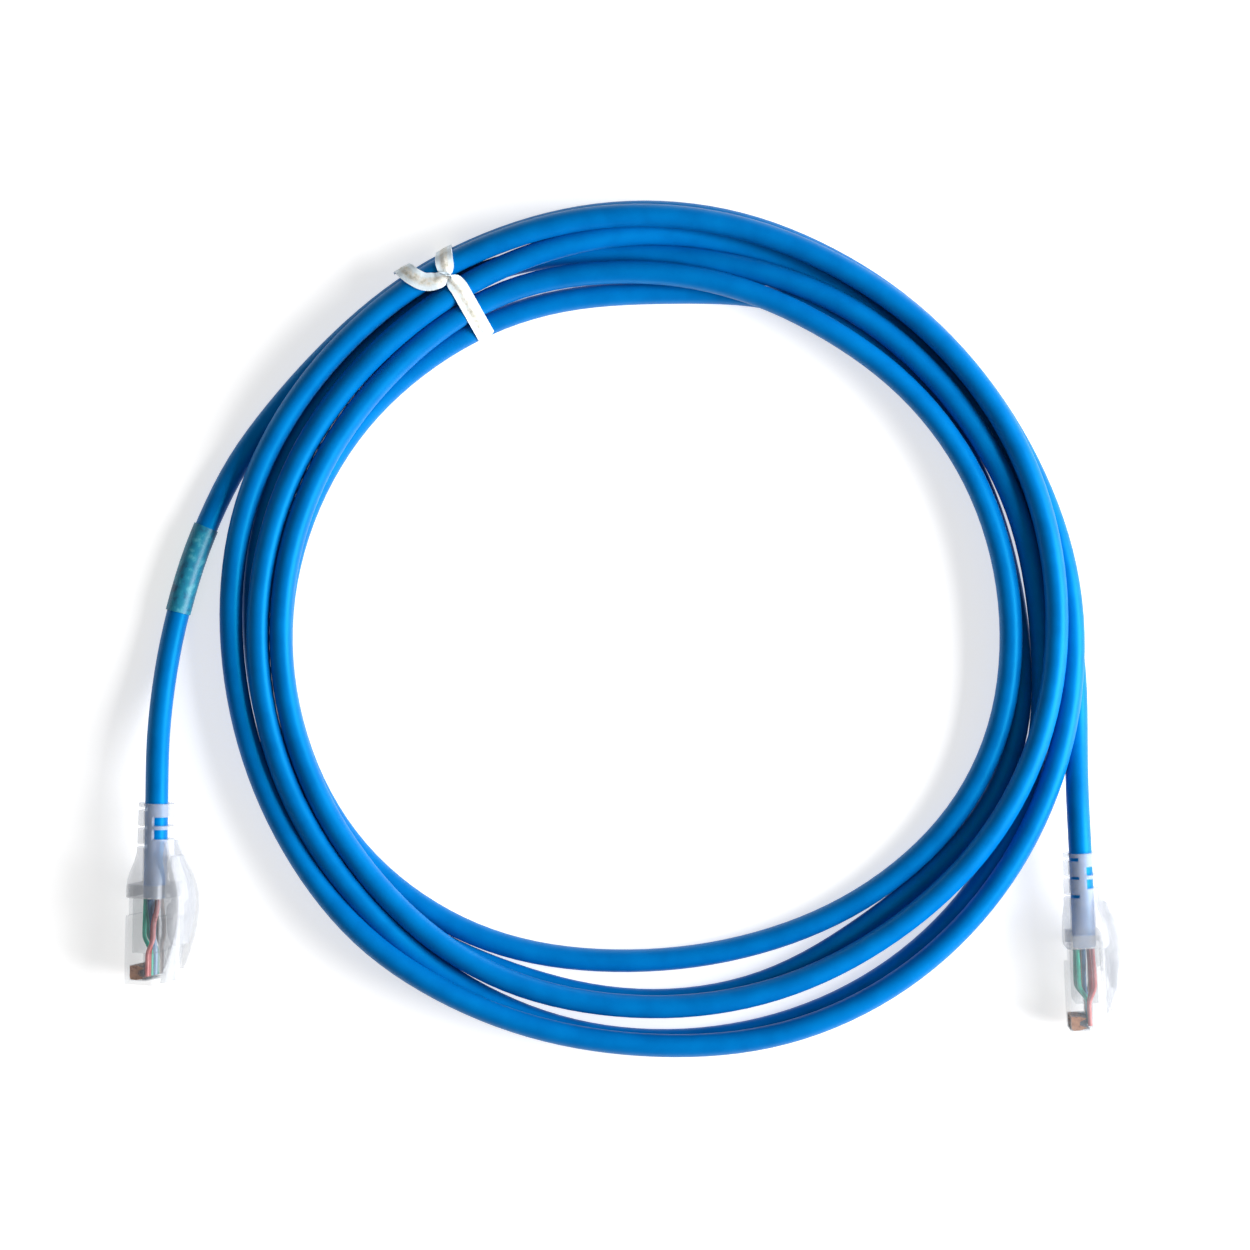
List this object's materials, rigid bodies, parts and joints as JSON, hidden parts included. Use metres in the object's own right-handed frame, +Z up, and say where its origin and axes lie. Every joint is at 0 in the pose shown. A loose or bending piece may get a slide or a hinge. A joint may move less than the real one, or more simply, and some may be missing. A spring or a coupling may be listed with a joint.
{
  "type": "ethernet patch cable",
  "caption": "Coiled round network patch cable held by a twist tie, with a clear latching modular plug in a snagless boot at each end.",
  "frame": {"origin": "centre of the bounding box at its base, where the coil lies on the surface", "axes": "+Z up, out of the coil's plane; +X from the end with the label towards the other end; both plugs point towards -Y"},
  "size_m": [0.2166, 0.192, 0.0159],
  "materials": {
    "jacket": "satin blue PVC",
    "label": "satin teal film, blank",
    "tie": "white plastic-coated twist tie",
    "clear_plastic": "clear polycarbonate",
    "boot_plastic": "translucent soft PVC",
    "gold": "gold plated",
    "wire_white_orange": "white and orange insulation",
    "wire_orange": "orange insulation",
    "wire_white_green": "white and green insulation",
    "wire_blue": "blue insulation",
    "wire_white_blue": "white and blue insulation",
    "wire_green": "green insulation",
    "wire_white_brown": "white and brown insulation",
    "wire_brown": "brown insulation"
  },
  "bodies": {
    "cable": {"cable_coil": "jacket", "cable_tail_a": "jacket", "cable_tail_b": "jacket", "tail_label": "label", "twist_tie": "tie", "plug_housing_a": "clear_plastic", "boot_a": "boot_plastic", "contact_a_1": "gold", "contact_a_2": "gold", "contact_a_3": "gold", "contact_a_4": "gold", "contact_a_5": "gold", "contact_a_6": "gold", "contact_a_7": "gold", "contact_a_8": "gold", "conductor_a_1": "wire_white_orange", "conductor_a_2": "wire_orange", "conductor_a_3": "wire_white_green", "conductor_a_4": "wire_blue", "conductor_a_5": "wire_white_blue", "conductor_a_6": "wire_green", "conductor_a_7": "wire_white_brown", "conductor_a_8": "wire_brown", "plug_housing_b": "clear_plastic", "boot_b": "boot_plastic", "contact_b_1": "gold", "contact_b_2": "gold", "contact_b_3": "gold", "contact_b_4": "gold", "contact_b_5": "gold", "contact_b_6": "gold", "contact_b_7": "gold", "contact_b_8": "gold", "conductor_b_1": "wire_white_orange", "conductor_b_2": "wire_orange", "conductor_b_3": "wire_white_green", "conductor_b_4": "wire_blue", "conductor_b_5": "wire_white_blue", "conductor_b_6": "wire_green", "conductor_b_7": "wire_white_brown", "conductor_b_8": "wire_brown"},
    "latch_a": {"plug_latch_a": "clear_plastic"},
    "guard_a": {"boot_guard_a": "boot_plastic"},
    "latch_b": {"plug_latch_b": "clear_plastic"},
    "guard_b": {"boot_guard_b": "boot_plastic"}
  },
  "joints": [
    {"name": "latch_a_press", "type": "hinge", "parent": "cable", "child": "latch_a", "pos_m": [-0.09959, -0.07657, 0.00799], "axis": [-0.3429, -0.0326, 0.9388], "range_deg": [0, 10], "stiffness_Nm_per_rad": 0.4},
    {"name": "guard_a_press", "type": "hinge", "parent": "cable", "child": "guard_a", "pos_m": [-0.09686, -0.04949, 0.00993], "axis": [0.3429, 0.0326, -0.9388], "range_deg": [0, 4.2]},
    {"name": "latch_b_press", "type": "hinge", "parent": "cable", "child": "latch_b", "pos_m": [0.10317, -0.08693, 0.00614], "axis": [0.003, -0.061, 0.9981], "range_deg": [0, 10], "stiffness_Nm_per_rad": 0.4},
    {"name": "guard_b_press", "type": "hinge", "parent": "cable", "child": "guard_b", "pos_m": [0.10404, -0.05971, 0.0078], "axis": [-0.003, 0.061, -0.9981], "range_deg": [0, 4.2]}
  ],
  "couplings": [
    {"joint": "guard_a_press", "follows": "latch_a_press", "ratio": 0.42},
    {"joint": "guard_b_press", "follows": "latch_b_press", "ratio": 0.42}
  ]
}
